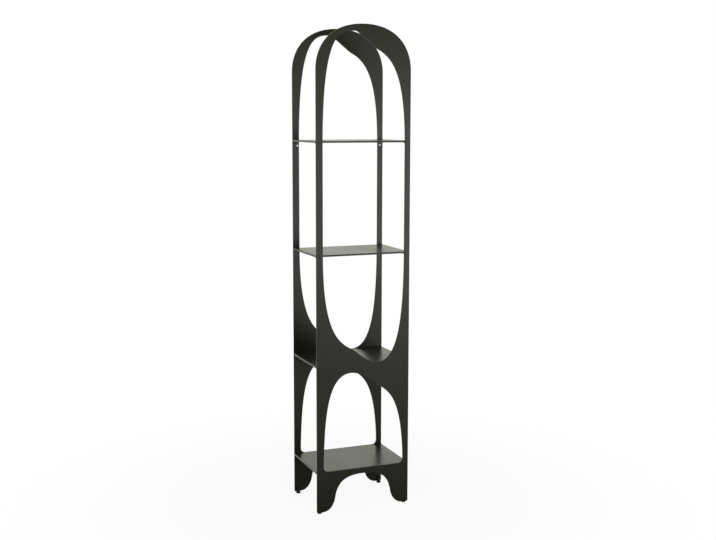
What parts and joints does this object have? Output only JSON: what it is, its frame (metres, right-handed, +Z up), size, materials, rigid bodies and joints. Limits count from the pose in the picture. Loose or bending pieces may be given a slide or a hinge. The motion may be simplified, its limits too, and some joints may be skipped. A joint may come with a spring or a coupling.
{
  "type": "etagere",
  "caption": "Tall narrow etagere: flat steel shelves between two arched plates with lopsided arched openings, on screw-in glides.",
  "frame": {"origin": "on the floor, at the middle of the footprint", "axes": "+Z up, front towards -Y, +X to the right as seen from the front"},
  "size_m": [0.4, 0.285, 1.9455],
  "materials": {
    "powder_coat": "fine satin powder coat, warm charcoal",
    "black_zinc": "black zinc plate",
    "nylon": "moulded black nylon"
  },
  "bodies": {
    "etagere": {"front_frame": "powder_coat", "back_frame": "powder_coat", "bottom_shelf": "powder_coat", "bottom_shelf_screw_front_left": "black_zinc", "bottom_shelf_nut_front_left": "powder_coat", "bottom_shelf_screw_front_right": "black_zinc", "bottom_shelf_nut_front_right": "powder_coat", "bottom_shelf_screw_back_left": "black_zinc", "bottom_shelf_nut_back_left": "powder_coat", "bottom_shelf_screw_back_right": "black_zinc", "bottom_shelf_nut_back_right": "powder_coat", "lower_shelf": "powder_coat", "lower_shelf_screw_front_left": "black_zinc", "lower_shelf_nut_front_left": "powder_coat", "lower_shelf_screw_front_right": "black_zinc", "lower_shelf_nut_front_right": "powder_coat", "lower_shelf_screw_back_left": "black_zinc", "lower_shelf_nut_back_left": "powder_coat", "lower_shelf_screw_back_right": "black_zinc", "lower_shelf_nut_back_right": "powder_coat", "upper_shelf": "powder_coat", "upper_shelf_screw_front_left": "black_zinc", "upper_shelf_nut_front_left": "powder_coat", "upper_shelf_screw_front_right": "black_zinc", "upper_shelf_nut_front_right": "powder_coat", "upper_shelf_screw_back_left": "black_zinc", "upper_shelf_nut_back_left": "powder_coat", "upper_shelf_screw_back_right": "black_zinc", "upper_shelf_nut_back_right": "powder_coat", "top_shelf": "powder_coat", "top_shelf_screw_front_left": "black_zinc", "top_shelf_nut_front_left": "powder_coat", "top_shelf_screw_front_right": "black_zinc", "top_shelf_nut_front_right": "powder_coat", "top_shelf_screw_back_left": "black_zinc", "top_shelf_nut_back_left": "powder_coat", "top_shelf_screw_back_right": "black_zinc", "top_shelf_nut_back_right": "powder_coat"},
    "glide_front_left": {"glide_pad_front_left": "nylon", "glide_stud_front_left": "black_zinc"},
    "glide_front_right": {"glide_pad_front_right": "nylon", "glide_stud_front_right": "black_zinc"},
    "glide_back_left": {"glide_pad_back_left": "nylon", "glide_stud_back_left": "black_zinc"},
    "glide_back_right": {"glide_pad_back_right": "nylon", "glide_stud_back_right": "black_zinc"}
  },
  "joints": [
    {"name": "glide_front_left_height", "type": "slide", "parent": "etagere", "child": "glide_front_left", "axis": [0, 0, -1], "range_m": [0, 0.008]},
    {"name": "glide_front_right_height", "type": "slide", "parent": "etagere", "child": "glide_front_right", "axis": [0, 0, -1], "range_m": [0, 0.008]},
    {"name": "glide_back_left_height", "type": "slide", "parent": "etagere", "child": "glide_back_left", "axis": [0, 0, -1], "range_m": [0, 0.008]},
    {"name": "glide_back_right_height", "type": "slide", "parent": "etagere", "child": "glide_back_right", "axis": [0, 0, -1], "range_m": [0, 0.008]}
  ]
}
